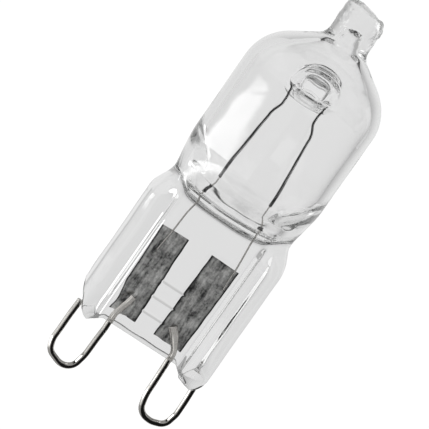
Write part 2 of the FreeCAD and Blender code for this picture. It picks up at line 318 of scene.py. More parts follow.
# %% Square block to rings
def rings_of_block(size):
    """Ring number and direction of each point of a square block, as seen from the block's middle.

    ring = max(|up|, |across|); along a ring the direction grows evenly with the place on its side."""
    up, across = np.meshgrid(np.arange(-size, size + 1), np.arange(-size, size + 1), indexing="ij")
    ring = np.maximum(abs(up), abs(across))
    sideways = abs(across) >= abs(up)
    along_side = np.where(sideways, up, -across) / np.where(ring == 0, 1, np.where(sideways, across, up))
    quarter = np.where(sideways, np.where(across < 0, np.pi, 0), np.where(up > 0, np.pi / 2, -np.pi / 2))
    return up, across, ring, np.pi / 4 * along_side + quarter


def press_in(points, skin, line, way, row, shift, size, floor_rings, rim_ring, cup, melt):
    """Redraws a block of 2 * size squares a side as rings round the peg, in front and behind.

    row is the block's middle row in front less `shift` rows, and behind it plus that many, since
    the rods came in on a slant. cup is (depth of its floor's middle, rise of the floor to its edge,
    narrow radius, depth where it flares, depth of the wall, its across_shape)."""
    deepest, bowl, narrow, start, reach, shape_of = cup
    columns = points.shape[1]
    up, across, ring, direction = rings_of_block(size)
    order = np.argsort(line[:, 1], kind="stable")
    depths = np.linspace(deepest, reach * 1.1, 300)[:, None, None]

    def radius(depth):
        """Radius of the cup: narrow x shape, plus a 45 degree flare, (u + sqrt(u^2 + bend^2)) / 2."""
        past = depth - start
        return narrow * across_shape(direction, *shape_of) \
            + flare_share(direction) * (past + np.sqrt(past ** 2 + flare_bend ** 2)) / 2

    def wall_depth(x, z):
        radius = np.interp(z, line[order, 1], line[order, 0])
        return np.sqrt(np.maximum(radius ** 2 - x ** 2, 0.01))

    for facing, middle in ((1, 0), (-1, columns // 2)):
        def cup_point(depth, radius):
            """Place on the cup's wall: its middle drifts towards the viewer's side with the depth."""
            return (facing * (radius * np.cos(direction) - peg_slant[0] * depth),
                    peg_height + facing * peg_slant[1] * depth + radius * np.sin(direction))

        tried = cup_point(depths, radius(depths))
        rim_depth = depths[np.argmax(depths > wall_depth(*tried), axis=0), 0, 0]
        down = np.clip((ring - floor_rings) / (rim_ring - floor_rings), 0, 1)
        floor_edge = deepest + bowl * np.abs(np.sin(direction)) ** 3
        depth = floor_edge + (rim_depth - floor_edge) * (1 - (1 - down) ** 1.3)
        x, z = cup_point(depth, radius(depth) * np.minimum(1, ring / floor_rings))

        rows = row + facing * shift[1] + np.arange(-size, size + 1)
        middle = middle - shift[0]
        where = (middle + np.arange(-size, size + 1)) % columns
        safe = np.maximum(ring, 1)
        middle_way = way[row + facing * shift[1]]
        edge = skin((middle + across * size / safe) * 4 / columns,
                    middle_way + up * size / safe * (way[row + 1] - way[row]))
        outwards = np.clip((ring - rim_ring) / (size - rim_ring), 0, 1) ** 1.3
        x = (1 - outwards) * x + outwards * edge[..., 0]
        z = (1 - outwards) * z + outwards * edge[..., 2]
        wall_here = wall_depth(x, z)
        off_x = facing * x + peg_slant[0] * wall_here
        off_z = z - peg_height - facing * peg_slant[1] * wall_here
        seen_at = np.arctan2(off_z, off_x)
        flared = np.hypot(off_x, off_z) - narrow * across_shape(seen_at, *shape_of)
        flared = np.maximum(flared, 0.02) / (flare_share(seen_at) + 0.01)
        beyond = np.minimum(start + flared - flare_bend ** 2 / (4 * flared), 3 * reach)
        cup_depth = np.where(ring <= rim_ring, depth, np.maximum(beyond, rim_depth))
        floor = deepest + bowl * (ring / floor_rings * np.abs(np.sin(direction))) ** 3
        y = np.where(ring <= floor_rings, floor, melted_minimum(wall_here, cup_depth, melt))
        block = stacked(x, -facing * y, z)
        kept = points[rows[:, None], where[None, :]]
        points[rows[:, None], where[None, :]] = np.where((ring == size)[..., None], kept, block)


# %% Outside of the envelope
def ways_past_peg(line, low, step, even_rows, low_rows, high_rows):
    """Ways up an outline that starts at `low`, with even steps around the height of the peg."""
    peg_way = low + np.interp(peg_height, line[:50, 1], way_along(line)[:50])
    return np.concatenate([
        np.linspace(low, peg_way - even_rows * step, low_rows, endpoint=False),
        peg_way + np.arange(-even_rows, even_rows) * step,
        np.linspace(peg_way + even_rows * step, low + way_along(line)[-1], high_rows)])


outer_columns, dent_size, dent_step, dent_shift = 240, 26, 0.145, (6, 8)
beside_mark = np.array([-0.27, -0.17, -0.08, 0, 0.08, 0.17, 0.27])
pinch_way = np.unique(np.append(np.arange(36) * pinch_top / 36, np.add.outer(press_marks, beside_mark)))
neck_rows, low_rows, even_rows = 44, 14, dent_size + dent_shift[1]
outer_way = np.concatenate([
    pinch_way, np.linspace(pinch_top, bulb_low, neck_rows, endpoint=False),
    ways_past_peg(outer_line, bulb_low, dent_step, even_rows, low_rows, 56)])
dent_row = len(pinch_way) + neck_rows + low_rows + even_rows
outer = outer_skin(np.arange(outer_columns)[None, :] * 4 / outer_columns, outer_way[:, None])
press_in(outer, outer_skin, outer_line, outer_way, dent_row, dent_shift, dent_size, 5, 19,
         (0.4, 0.45, dent_width, 5.0, bulb_radius, (0.8, 0.8, 3.0)), 0.4)
print("middle row of the dents at", outer_way[dent_row].round(2), "of", outer_way[-1].round(2))

# %% [markdown]
# ## Marks of the making
#
# Pressed and melted glass is never even. The jaws left three faint ridges across the web and a wavy
# neck, the cut foot was fire-polished, and the tip shrank to a lumpy stub when the flame closed it.
# Without these, clear glass looks like a plastic model, because waviness is all that shows in it.

# %% Unevenness of the outside
def marked(points):
    """Moves the skin along (x / half width, y / half depth) by the marks that belong to each height."""
    x, y, z = np.moveaxis(points, -1, 0)
    heights = [0, pinch_top, neck, bulb_low, shoulder, tip_root, 40]
    depth = np.interp(z, heights, [2, 2, 3, bulb_radius, bulb_radius, 3, 2.1])
    width = np.interp(z, heights, [7, 7, 6.4, bulb_radius, bulb_radius, 3, 2.1])
    away = 0.010 * unevenness(points, 4, 1) * smooth(z, 1, 3)
    away += 0.010 * unevenness(points * (1, 1, 0.4), 2.6, 2) * (1 - smooth(z, 12, 14))
    away += 0.03 * unevenness(points * (1, 1, 1.6), 3.4, 3) * smooth(z, 11.2, 13) * (1 - smooth(z, 14.5, 17))
    away += 0.05 * unevenness(points, 1.5, 4) * smooth(z, 33.8, 35.4)
    away += 0.03 * unevenness(points, 0.75, 14) * smooth(z, 33.8, 34.8)
    away += 0.02 * unevenness(points, 1.8, 5) * (1 - smooth(z, 0.2, 1.6))
    ridges = np.exp(-((z[..., None] - press_marks) / 0.12) ** 2).sum(axis=-1)
    away += 0.2 * ridges * smooth(x, -1.6, -1.1) * (1 - smooth(x, 0.7, 1.1)) * (y < 0) * (z < pinch_top)
    tilted = z - np.tan(np.radians(10)) * x * smooth(z, 34.4, 36.2)
    tilted += 0.07 * unevenness(points, 1.4, 6) * smooth(z, 34.8, 36.3)
    return stacked(x + away * x / width, y + away * y / depth, tilted)


outer = marked(outer)

# %% Closing the foot
def foot_round(x):
    """Radius of the lower edge: a crisp cut under the web, a fire-polished nose under the ribs."""
    return 0.12 + 0.18 * smooth(np.abs(x), 4.2, 5.8)


lift = 1 - smooth(outer_way, 0, 4.5)[:, None]
outer[..., 2] += lift * (foot(outer[..., 0]) + foot_round(outer[..., 0]))
curl = np.linspace(np.pi / 2, 0, 10)[:-1, None]          # from underneath up to the side
radius, side_x = foot_round(outer[0, :, 0]), outer[0, :, 0]
inset = radius * (1 - np.cos(curl))
closing_x = side_x - np.sign(side_x) * smooth(np.abs(side_x), 4.6, 7.0) * inset
closing_y = np.sign(outer[0, :, 1]) * np.maximum(np.abs(outer[0, :, 1]) - inset, 0)
closing_z = outer[0, :, 2] - radius * np.sin(curl)
towards_spine = np.linspace(0, 1, 6)[:-1, None]
opposite = (outer_columns // 2 - np.arange(outer_columns)) % outer_columns
spine_x, spine_z = (row / 2 + row[opposite] / 2 for row in (closing_x[0], closing_z[0]))
outer = np.concatenate([
    stacked(spine_x + (closing_x[0] - spine_x) * towards_spine, closing_y[0] * towards_spine,
            spine_z + (closing_z[0] - spine_z) * towards_spine),
    stacked(closing_x, closing_y, closing_z),
    outer,
])
print("outer skin:", outer.shape, "from", outer[..., 2].min().round(2), "to", outer[..., 2].max().round(2))

# %% [markdown]
# ## The hollow
#
# The gas space starts as a flat slot above the pinch, where the jaws squeezed the tube shut, and opens
# into the round of the bulb. The slot's floor sags in the middle: seen through the neck it shows as a
# few thin curved lines. The peg crosses the hollow, so the inner skin has a block of rings in front and
# behind, without middles, and their innermost rings meet.

# %% Inner skin
slot_floor, slot_half_width = 14.4, 4.7
folds = ((14.6, 0.15, 0.12), (14.85, 0.4, 0.2))      # height, depth and width of each


def inner_skin(turn, way):
    """Point of the inside: below the bulb a superellipse that turns from a slot into a circle."""
    angle = turn * np.pi / 2
    rise = np.clip((way - slot_floor) / (inner_low - slot_floor), 0, 1)
    inside = bulb_radius - wall
    width = slot_half_width + (inside - slot_half_width) * smooth(rise, 0.15, 0.95)
    width = width - 0.5 * np.maximum(0, 1 - rise / 0.12) ** 2
    outside, slope = blown_depth(way)
    glass = (wall + 0.4 * (1 - smooth(way, 14, 19))) * np.sqrt(1 + slope ** 2)
    opening = np.clip((way - slot_floor) / 0.8, 0, 1)
    depth = 0.1 + (outside - glass - 0.1) * (1 - (1 - opening) ** 2.2)
    folded = sum(deep * smooth(way, height, height + wide) for height, deep, wide in folds)
    depth = depth + folded * (1 - smooth(way, 14.6, 16.2))
    power = 2 + 1.5 * (1 - smooth(rise, 0.05, 0.4))
    radius, height = np.moveaxis(along(inner_line, way - inner_low), -1, 0)
    width = np.where(way > inner_low, radius, width)
    depth = np.where(way > inner_low, radius, depth)
    x = width * np.sin(angle)
    y = -np.sign(np.cos(angle)) * depth * (1 - np.abs(np.sin(angle)) ** power).clip(0) ** (1 / power)
    sag = 0.25 * (x / slot_half_width) ** 2 * (1 - smooth(rise, 0, 0.5))
    return stacked(x, y, np.where(way > inner_low, height, way) + sag)


# %% Inside of the envelope
inner_columns, peg_size, peg_step, peg_shift, peg_rings = 192, 20, 0.2, (4, 5), 6
slot_rows, low_rows, even_rows = 40, 12, peg_size + peg_shift[1]
inner_way = np.concatenate([
    np.linspace(slot_floor, 15.6, slot_rows, endpoint=False),
    np.linspace(15.6, inner_low, slot_rows, endpoint=False),
    ways_past_peg(inner_line, inner_low, peg_step, even_rows, low_rows, 40)])
peg_row = 2 * slot_rows + low_rows + even_rows
inner = inner_skin(np.arange(inner_columns)[None, :] * 4 / inner_columns, inner_way[:, None])
press_in(inner, inner_skin, inner_line, inner_way, peg_row, peg_shift, peg_size, peg_rings, 15,
         (0.0, 0.0, peg_width, 4.4, bulb_radius - wall, (0.9, 0.82, 2.5)), 0.4)
slot_curl = np.linspace(np.pi / 2, 0, 6)[:-1, None]
inner = np.concatenate([stacked(inner[0, :, 0], inner[0, :, 1] * np.cos(slot_curl),
                                inner[0, :, 2] - 0.14 * np.sin(slot_curl)), inner])
low_glass = 1 - smooth(inner[..., 2], 14.0, 16.5)
inner[..., 1] *= 1 + 0.10 * low_glass * unevenness(inner * (1, 0, 1), 2.4, 7)
inner[..., 2] += 0.05 * low_glass * unevenness(inner * (1, 0, 0), 3.0, 8)
lumpy = smooth(inner[..., 2], 32.8, 33.6)
inner[..., :2] *= (1 + 0.10 * lumpy * unevenness(inner, 1.3, 9))[..., None]
print("inner skin:", inner.shape, "from", inner[..., 2].min().round(2), "to", inner[..., 2].max().round(2))

# %% One piece of glass from two skins
middle_of_peg = np.zeros(inner.shape[:2], bool)
for facing, middle in ((1, 0), (-1, inner_columns // 2)):
    rows = len(slot_curl) + peg_row + facing * peg_shift[1] + np.arange(-peg_size, peg_size + 1)
    columns = (middle - peg_shift[0] + np.arange(-peg_size, peg_size + 1)) % inner_columns
    middle_of_peg[rows[:, None], columns[None, :]] = rings_of_block(peg_size)[2] <= peg_rings
inner_quads = grid_quads(*inner.shape[:2])
inner_quads = inner_quads[~middle_of_peg.ravel()[inner_quads].all(axis=1)][:, ::-1]
outer_quads = grid_quads(*outer.shape[:2])
envelope = new_piece("quartz_envelope",
                     np.concatenate([outer.reshape(-1, 3), inner.reshape(-1, 3)]),
                     np.concatenate([outer_quads, inner_quads + outer.shape[0] * outer.shape[1]]))

# %% [markdown]
# ## Wire
#
# Pins, leads and filament are all a small section carried along a line. Pins and leads lie in a plane
# of constant depth, so the section's second direction can be found without any twist: it is the
# line's direction turned against the depth. The filament's coil gives its own turning radius instead.

# %% Wire along a line
depthwise = (0.0, 1.0, 0.0)


def wire(name, line, width, depth, sides=20, reference=depthwise):
    """Carries an ellipse along a line: point = line + width cos(a) across + depth sin(a) deep.

    deep is the reference, squared up to the line. Smaller and smaller rings close both ends."""
    onward = unit(np.gradient(line, axis=0))
    across = unit(np.cross(onward, reference))
    deep = np.cross(across, onward)
    width = np.broadcast_to(width, len(line)).astype(float)
    depth = np.broadcast_to(depth, len(line)).astype(float)
    cap = np.array([0.0, 0.5, 0.8, 0.93])
    bulge = 0.14 * (1 - cap)
    shift = np.concatenate([-bulge * width[0], np.zeros(len(line)), bulge[::-1] * width[-1]])
    scale = np.concatenate([cap, np.ones(len(line)), cap[::-1]])
    line, onward, across, deep, width, depth = (
        np.concatenate([rows[:1].repeat(4, axis=0), rows, rows[-1:].repeat(4, axis=0)])
        for rows in (line, onward, across, deep, width, depth))
    width, depth = width * scale, depth * scale
    turn = np.arange(sides) * 2 * np.pi / sides
    points = (line + shift[:, None] * onward)[:, None, :] \
        + (width[:, None] * np.cos(turn))[..., None] * across[:, None, :] \
        + (depth[:, None] * np.sin(turn))[..., None] * deep[:, None, :]
    way = way_along(line)
    uv = stacked(turn / (2 * np.pi), way[:, None])
    return new_piece(name, points, grid_quads(len(line), sides)[:, ::-1], uv)


# %% Looped pins
def flat_line(route, bends, count, depth):
    """Evenly spaced points of a rounded route of (x, z), all at one depth."""
    line = rounded(route, bends)
    line = along(line, np.linspace(0, way_along(line)[-1], count))
    return stacked(line[:, 0], depth, line[:, 1])


pin_radius, pin_depth = 0.3, -0.195
pin_routes = {
    "left": [(-2.72, 3.05), (-2.86, 2.3), (-3.28, 0.75), (-3.18, -1.0), (-3.28, -4.1), (-3.6, -5.8),
             (-4.8, -6.0), (-6.2, -5.46), (-6.6, -4.3), (-6.55, -2.0), (-6.5, 0.05)],
    "right": [(1.75, 2.7), (2.3, 2.1), (3.22, 0.75), (3.3, -1.0), (3.4, -4.1), (3.85, -5.86),
              (5.2, -6.0), (6.45, -5.6), (6.76, -4.2), (6.72, -2.4), (6.67, -1.2)],
}
pin_bends = [0.8, 1.6, 4, 6, 1.2, 1.4, 1.1, 2.0, 6, 6]
pins = {}
for side, route in pin_routes.items():
    line = flat_line(route, pin_bends, 260, pin_depth)
    line[:, 0] += 0.02 * unevenness(line, 4, 11 if side == "left" else 12)
    pressed = smooth(line[:, 2], 0.7, 2.2)       # the end on the foil was squeezed flat
    wider = {"left": 0.0, "right": 0.1}[side]
    pins[side] = wire(f"{side}_pin_wire", line, pin_radius + wider * pressed, pin_radius - 0.12 * pressed)

# %% Inner leads
lead_radius = 0.08
lead_routes = {
    "left": [(-3.43, 7.8), (-3.25, 10.4), (-3.13, 12.2), (-2.95, 13.5), (-2.8, 14.8), (-2.75, 15.8),
             (-2.62, 17.0)],
    "right": [(3.62, 8.05), (3.54, 10.25), (3.4, 11.7), (3.24, 13.4), (3.11, 14.8), (3.05, 15.7),
              (2.93, 17.0)],
}
leads = {}
for side, route in lead_routes.items():
    line = flat_line(route, [3, 3, 2, 1.5, 0.6, 0.5], 120, 0.0)
    line[:, 0] += 0.03 * unevenness(line, 5, 13) * smooth(line[:, 2], 8, 9) * (1 - smooth(line[:, 2], 15, 16))
    leads[side] = wire(f"{side}_lead_wire", line, lead_radius, lead_radius, sides=12)

# %% [markdown]
# ## The filament
#
# Tungsten wire finer than a hair is wound into a spiral, and the spiral hangs over the peg. At this
# size the turns, not the wire, are what the eye reads: a dark line with a fine comb in it, denser and
# thicker at both ends. A point on the wire is the centre line plus a turning radius.

# %% Wound filament
hang, thread = 1.66, 0.045       # reach of the bend over the peg, radius of the wire, in mm
coil_routes = {
    -1: [(-2.75, 16.05), (-2.16, 21.6), (-1.96, 24.35), (-hang + 0.04, 25.2), (-hang, peg_height)],
    1: [(3.03, 16.1), (2.52, 21.1), (2.16, 24.35), (hang + 0.04, 25.2), (hang, peg_height)],
}
legs = [rounded(coil_routes[side], [12, 0.9, 0.9]) for side in (-1, 1)]
bow = np.linspace(np.pi, 0, 60)[1:-1, None]
over = np.concatenate([hang * np.cos(bow), peg_height + hang * np.sin(bow)], axis=1)
centre = np.concatenate([legs[0], over, legs[1][::-1]])
length = way_along(centre)[-1]
steps_per_turn, coil_pitch = 14, 0.125
way = np.linspace(0, length, 4000)
from_end = np.minimum(way, length - way)
pitch = coil_pitch * (1 - 0.3 * (1 - smooth(from_end, 0.5, 3))) * (1 + 0.12 * np.sin(way * 2.1))
phase = np.append(0, np.cumsum(np.diff(way) / pitch[1:])) * 2 * np.pi
turns = phase[-1] / (2 * np.pi)
coil_phase = np.linspace(0, phase[-1], int(turns * steps_per_turn))
coil_way = np.interp(coil_phase, phase, way)
spine = along(centre, coil_way)
spine = stacked(spine[:, 0], 0.0, spine[:, 1])
sideways = np.cross(unit(np.gradient(spine, axis=0)), depthwise)
coil_radius = np.interp(np.minimum(coil_way, length - coil_way), [0, 3, 8], [0.135, 0.115, 0.085])
radial = np.cos(coil_phase)[:, None] * sideways + np.sin(coil_phase)[:, None] * depthwise
filament = wire("wound_filament", spine + coil_radius[:, None] * radial, thread, thread, sides=6,
                reference=radial)
print("filament:", round(length, 1), "mm of coil in", int(turns), "turns")

# %% [markdown]
# ## The sealed foils
#
# Each foil is molybdenum etched to a feather edge, so that quartz can grip it. It is far too thin to
# model at its real 0.03 mm edge to edge, but its shape still shows: a lens-like section whose edges
# turn away from the light, lengthwise wrinkles, and crumples round the weld of the pin.

# %% Foils
foil_width, foil_low, foil_high, foil_depth = 3.0, 1.05, 10.15, 0.085
foil_length = foil_high - foil_low
foil_middles = {"left": (-2.88, -1.6), "right": (2.36, 1.6)}
weld_places = {"left": (-2.9, 2.6), "right": (2.2, 2.3)}
foils = {}
for number, side in enumerate(foil_middles):
    middle, lean_degrees = foil_middles[side]
    across = np.concatenate([np.linspace(-1, 1, 41), np.linspace(1, -1, 41)[1:-1]])
    face = np.concatenate([-np.ones(41), np.ones(39)])
    face[[0, 40]] = 0
    up = np.linspace(0, 1, 150)[:, None]
    ragged = stacked(np.sign(across) * 3.0, 0.0, up * 9)
    half = foil_width / 2 * (1 + 0.012 * unevenness(ragged, 1.1, 20 + number))
    if side == "left":
        half = half - 0.32 * (across < 0) * smooth(-up, -0.36, -0.12) * (1 - 0.6 * smooth(-up, -0.1, 0.0))
    x = across * half
    z = up * foil_length - foil_length / 2
    z = z + 0.05 * unevenness(stacked(x, 0.0, 0 * up), 0.9, 22 + number) * (1 - smooth(up, 0, 0.1))
    turn = math.radians(lean_degrees)
    fx = middle + x * math.cos(turn) + z * math.sin(turn)
    fz = (foil_low + foil_high) / 2 + z * math.cos(turn) - x * math.sin(turn)
    place = stacked(fx, 0.0, fz)
    near_weld = np.exp(-(((fx - weld_places[side][0]) / 0.9) ** 2 + ((fz - weld_places[side][1]) / 1.1) ** 2))
    wrinkle = 0.018 * unevenness(place * (1, 1, 0.22), 0.8, 24 + number)
    wrinkle = wrinkle + near_weld * 0.085 * unevenness(place * (1, 1, 0.6), 0.6, 26 + number)
    thickness = 0.026 * (1 - np.abs(across) ** 3) + 0.002
    thickness = thickness * (1 - 0.9 * smooth(np.abs(2 * up - 1), 0.985, 1))
    points = stacked(fx, foil_depth + wrinkle + face * thickness, fz)
    ends = stacked(fx, foil_depth + wrinkle, fz)[[0, -1]]          # they close the strip's two ends
    points = np.concatenate([ends[:1], points, ends[1:]])
    shares = stacked(across * 0.5 + 0.5, np.concatenate([up[:1], up, up[-1:]]))
    foils[side] = new_piece(f"{side}_foil_sheet", points, grid_quads(len(points), points.shape[1]), shares)

# %% [markdown]
# ## Colours and materials
#
# Colours are written as they would be picked on a screen, and one function turns them to the linear
# values that the renderer works with. Another adds a node with its settings and links. Every pattern's
# scale is worked out from a size in millimetres on the real lamp.

# %% Colour and node helpers
def colour(code):
    """Linear red, green, blue and alpha of an sRGB hex colour."""
    srgb = np.array([int(code[i:i + 2], 16) / 255 for i in (1, 3, 5)])
    linear = np.where(srgb <= 0.04045, srgb / 12.92, ((srgb + 0.055) / 1.055) ** 2.4)
    return (*linear.tolist(), 1.0)


def node(tree, kind, inputs=None, **settings):
    """Adds a shader node, sets its properties, and links or sets its inputs.

    A node that is given as an input is linked by its first output."""
    new = tree.nodes.new("ShaderNode" + kind)
    for name, value in settings.items():
        setattr(new, name, value)
    for name, value in (inputs or {}).items():
        value = value.outputs[0] if isinstance(value, bpy.types.Node) else value
        if isinstance(value, bpy.types.NodeSocket):
            tree.links.new(value, new.inputs[name])
        else:
            new.inputs[name].default_value = value
    return new


def new_material(name):
    """An empty node material and its node tree."""
    material = bpy.data.materials.new(name)
    material.use_nodes = True
    material.node_tree.nodes.clear()
    return material, material.node_tree


def per_metre(size):
    """Scale of a noise whose features are `size` mm, on coordinates in metres."""
    return 1 / (size * MM)


white = colour("#ffffff")

# %% [markdown]
# ### Fused quartz
#
# Clear fused silica, blown and pressed at white heat and polished by its own flame. It bends light less
# than window glass (index 1.46) and has no colour. Two things keep it from vanishing: a faint waviness
# left by the flame, drawn here as a shallow bump with waves of 1.8 mm, and a little light lost in the
# thick pressed parts, which an absorbing volume gives. Along the three ridges on the front of the web
# a faint grey is painted. This is painted shade, in place of the lines that the ridges draw by bending light.
# They are evenly spaced, so the distance to the nearest one is a ping-pong of the height. The tip
# boiled a little when it was closed, and has lumps of 0.6 mm.

# %% Quartz
quartz, tree = new_material("fused_quartz_flame_polished")
place = node(tree, "TexCoord").outputs["Object"]
wave = node(tree, "TexNoise", {"Vector": place, "Scale": per_metre(1.8), "Detail": 1.5})
waviness = node(tree, "Bump", {"Height": wave, "Strength": 0.25, "Distance": 0.02 * MM})
# Painted shade: a faint grey painted along the three ridges on the front of the web, between the foils.
parts = node(tree, "SeparateXYZ", {"Vector": place}).outputs
half_spacing = (press_marks[0] - press_marks[1]) / 2
from_mark = node(tree, "Math", {0: parts["Z"], 1: press_marks[-1] * MM}, operation="SUBTRACT")
from_mark = node(tree, "Math", {0: from_mark, 1: half_spacing * MM}, operation="PINGPONG")
ridge_shade = node(tree, "MapRange", {"Value": from_mark, "From Min": 0.04 * MM, "From Max": 0.18 * MM,
                                "To Min": 1.0, "To Max": 0.0})
for axis, middle, reach in (("X", -0.35, 1.1), ("Y", -web, 0.4), ("Z", press_marks[1], 2.0)):
    within = node(tree, "Math", {0: parts[axis], 1: middle * MM, 2: reach * MM}, operation="COMPARE")
    ridge_shade = node(tree, "Math", {0: ridge_shade, 1: within}, operation="MULTIPLY")
ridge_shaded = node(tree, "Mix", {"Factor": ridge_shade, 6: white, 7: colour("#c6c6c5")}, data_type="RGBA")
melted = node(tree, "MapRange", {"Value": parts["Z"], "From Min": 33.4 * MM, "From Max": 34.6 * MM,
                                 "To Max": 0.8})
lumps = node(tree, "TexNoise", {"Vector": place, "Scale": per_metre(0.6), "Detail": 2.5})
lumpiness = node(tree, "Bump", {"Height": lumps, "Strength": melted, "Distance": 0.25 * MM,
                                "Normal": waviness})
glass = node(tree, "BsdfPrincipled", {"Base Color": ridge_shaded.outputs[2], "Roughness": 0.0, "IOR": 1.458,
                                      "Transmission Weight": 1.0, "Normal": lumpiness})
dim = node(tree, "VolumeAbsorption", {"Color": colour("#8f9290"), "Density": 20.0})
node(tree, "OutputMaterial", {"Surface": glass, "Volume": dim})

# %% [markdown]
# ### Nickel-plated wire
#
# Drawn wire with a thin bright nickel plating. Drawing leaves fine lines along the wire, and the heat of
# the sealing flame leaves the part in the glass a little rougher. That part is also painted paler than
# the loops outside. This is painted light, which brightens the metal seen through the glass.

# %% Nickel
nickel, tree = new_material("nickel_plated_drawn_wire")
place = node(tree, "TexCoord").outputs["Object"]
height = node(tree, "SeparateXYZ", {"Vector": place}).outputs["Z"]
sealed_in_glass = node(tree, "MapRange", {"Value": height, "From Min": -0.3 * MM, "From Max": 0.6 * MM},
              interpolation_type="SMOOTHSTEP")
blotch = node(tree, "TexNoise", {"Vector": place, "Scale": per_metre(0.8), "Detail": 4.0})
# Painted light: the part in the glass gets paler colours than the loops outside.
plated, painted_paler = (
    node(tree, "Mix", {"Factor": blotch, 6: colour(pale), 7: colour(grey)}, data_type="RGBA").outputs[2]
    for pale, grey in (("#d9d7d3", "#bdbab5"), ("#f2f0ec", "#d2cec8")))
base = node(tree, "Mix", {"Factor": sealed_in_glass, 6: plated, 7: painted_paler}, data_type="RGBA")
dull = node(tree, "MapRange", {"Value": sealed_in_glass, "To Min": 0.12, "To Max": 0.18})
drawn = node(tree, "Mapping", {"Vector": place, "Scale": (1, 1, 0.08)})
lines = node(tree, "TexNoise", {"Vector": drawn, "Scale": per_metre(0.07), "Detail": 2.0})
grain = node(tree, "Bump", {"Height": lines, "Strength": 0.3, "Distance": 0.004 * MM})
metal = node(tree, "BsdfPrincipled", {"Base Color": base.outputs[2], "Metallic": 1.0, "Roughness": dull,
                                      "Normal": grain})
node(tree, "OutputMaterial", {"Surface": metal})

# %% [markdown]
# ### Molybdenum foil
#
# Rolled and etched molybdenum: dark grey and mottled, with streaks along the strip from rolling. Its edges
# are painted nearly black; this is painted shade. The streaks are about 0.3 mm wide and five times as long.

# %% Molybdenum foil
foil_metal, tree = new_material("etched_molybdenum_foil")
coordinates = node(tree, "TexCoord").outputs
place = coordinates["Object"]
stretched = node(tree, "Mapping", {"Vector": place, "Scale": (1, 1, 0.2)})
streaks, mottle, clouds = (
    node(tree, "TexNoise", {"Vector": where, "Scale": per_metre(size), "Detail": detail, "Roughness": rough})
    for where, size, detail, rough in (
        (stretched, 0.32, 5.0, 0.65), (place, 0.22, 8.0, 0.8), (place, 1.4, 3.0, 0.5)))
both = node(tree, "Mix", {"Factor": 0.5, "A": streaks, "B": mottle})
both = node(tree, "Mix", {"Factor": 0.35, "A": both, "B": clouds})
share = node(tree, "SeparateXYZ", {"Vector": coordinates["UV"]})
off_middle = node(tree, "Math", {0: share, 1: 0.5}, operation="SUBTRACT")
off_middle = node(tree, "Math", {0: off_middle}, operation="ABSOLUTE")
# Painted shade: the strip's edges, found by its UV, are painted nearly black.
painted_dark_edge = node(tree, "MapRange", {"Value": off_middle, "From Min": 0.40, "From Max": 0.49},
                 interpolation_type="SMOOTHSTEP")
ramp = node(tree, "ValToRGB", {"Fac": both})
for stop, position, code in zip(ramp.color_ramp.elements, (0.41, 0.60), ("#3b3b3c", "#ebebe9")):
    stop.position, stop.color = position, colour(code)
edged = node(tree, "Mix", {"Factor": painted_dark_edge, 6: ramp, 7: colour("#1d1d1e")}, data_type="RGBA")
rough = node(tree, "MapRange", {"Value": mottle, "To Min": 0.22, "To Max": 0.5})
relief = node(tree, "Bump", {"Height": both, "Strength": 1.0, "Distance": 0.08 * MM})
metal = node(tree, "BsdfPrincipled", {"Base Color": edged.outputs[2], "Metallic": 1.0, "Roughness": rough,
                                      "Normal": relief})
node(tree, "OutputMaterial", {"Surface": metal})

# %% [markdown]
# ### Molybdenum lead and tungsten filament
#
# The leads are drawn molybdenum, satin grey. The tungsten is painted nearly black. This is painted shade
# for the dark that the tight turns of its coil cast on one another.

# %% Lead and filament
def speckled_metal(name, size, detail, first, second, roughness):
    """A metal whose colour goes between two tones in specks of `size` mm."""
    material, tree = new_material(name)
    place = node(tree, "TexCoord").outputs["Object"]
    specks = node(tree, "TexNoise", {"Vector": place, "Scale": per_metre(size), "Detail": detail})
    tone = node(tree, "Mix", {"Factor": specks, 6: colour(first), 7: colour(second)}, data_type="RGBA")
    metal = node(tree, "BsdfPrincipled", {"Base Color": tone.outputs[2], "Metallic": 1.0,
                                          "Roughness": roughness})
    node(tree, "OutputMaterial", {"Surface": metal})
    return material


lead_metal = speckled_metal("drawn_molybdenum_wire", 0.12, 3.0, "#9d9b98", "#d2d0cc", 0.2)
# Painted shade: the tungsten's two tones are nearly black.
tungsten = speckled_metal("wound_tungsten_wire", 0.05, 2.0, "#1b1b1d", "#353436", 0.45)

# %% Pieces onto the frame
def finish_piece(piece, material, stands_for):
    """Gives a piece its material and its body, and hides the solid that it stands for."""
    piece.data.materials.append(material)
    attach(piece, "root")
    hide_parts(stands_for)


finish_piece(envelope, quartz, "envelope")
finish_piece(filament, tungsten, "filament")
for side in ("left", "right"):
    finish_piece(foils[side], foil_metal, f"{side}_foil")
    finish_piece(pins[side], nickel, f"{side}_pin")
    finish_piece(leads[side], lead_metal, f"{side}_inner_lead")

# %% [markdown]
# ## Light for glass
#
# Clear glass on white shows only through what it bends and mirrors. Photographers light such things
# from behind with a bright sheet, keep the room beside it a little darker so that the edges of the
# glass draw themselves, and hang black cards near the camera for dark lines in metal. The same is done
# here: light grey straight behind the lamp, a darker grey elsewhere, and white wherever the camera
# looks past the lamp. Some cards show only in mirrors, and others only through the glass.

# %% Level of the room by direction
scene = bpy.context.scene
scene.view_settings.view_transform = "Standard"
sheet_behind, room_beside = 0.80, 0.45
lamp_middle = 14.0               # height that the lights face, in mm


